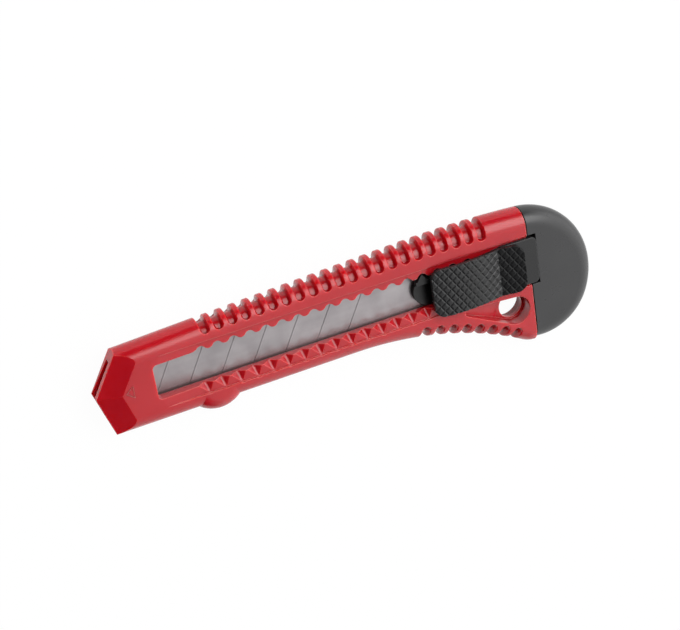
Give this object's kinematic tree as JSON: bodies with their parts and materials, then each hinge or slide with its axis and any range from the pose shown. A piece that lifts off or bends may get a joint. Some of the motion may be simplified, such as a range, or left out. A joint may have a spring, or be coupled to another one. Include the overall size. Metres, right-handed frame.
{
  "type": "utility knife",
  "caption": "Moulded snap-off utility knife: a rounded handle with a slotted face, a sliding thumb grip that feeds a scored blade in clicks, and a pull-off end cap.",
  "frame": {"origin": "half-way along the flat back, under the blade's centre line", "axes": "+X from the cutting tip to the end cap, +Y to the grooved spine, +Z out of the face with the slider"},
  "size_m": [0.1587, 0.0452, 0.013],
  "materials": {
    "handle_red": "glossy red moulded plastic",
    "cap_dark": "satin dark grey moulded plastic",
    "grip_dark": "satin dark grey moulded plastic, knurled on top",
    "carriage_dark": "near-black moulded plastic",
    "blade_steel": "rolled and ground carbon steel with score lines"
  },
  "bodies": {
    "handle": {"handle_body": "handle_red"},
    "slider": {"slider_carriage": "carriage_dark", "thumb_grip": "grip_dark", "snap_off_blade": "blade_steel"},
    "detent": {"detent_arm": "carriage_dark"},
    "cap": {"end_cap": "cap_dark"}
  },
  "joints": [
    {"name": "slider_slide", "type": "slide", "parent": "handle", "child": "slider", "axis": [-1, 0, 0], "range_m": [0, 0.07], "deforming": ["detent_arm"]},
    {"name": "detent_flex", "type": "hinge", "parent": "slider", "child": "detent", "pos_m": [0.038, 0.0036, 0.0084], "axis": [0, 0, 1], "range_deg": [0, 5], "stiffness_Nm_per_rad": 0.5},
    {"name": "cap_pull", "type": "slide", "parent": "handle", "child": "cap", "axis": [1, 0, 0], "range_m": [0, 0.02]}
  ]
}
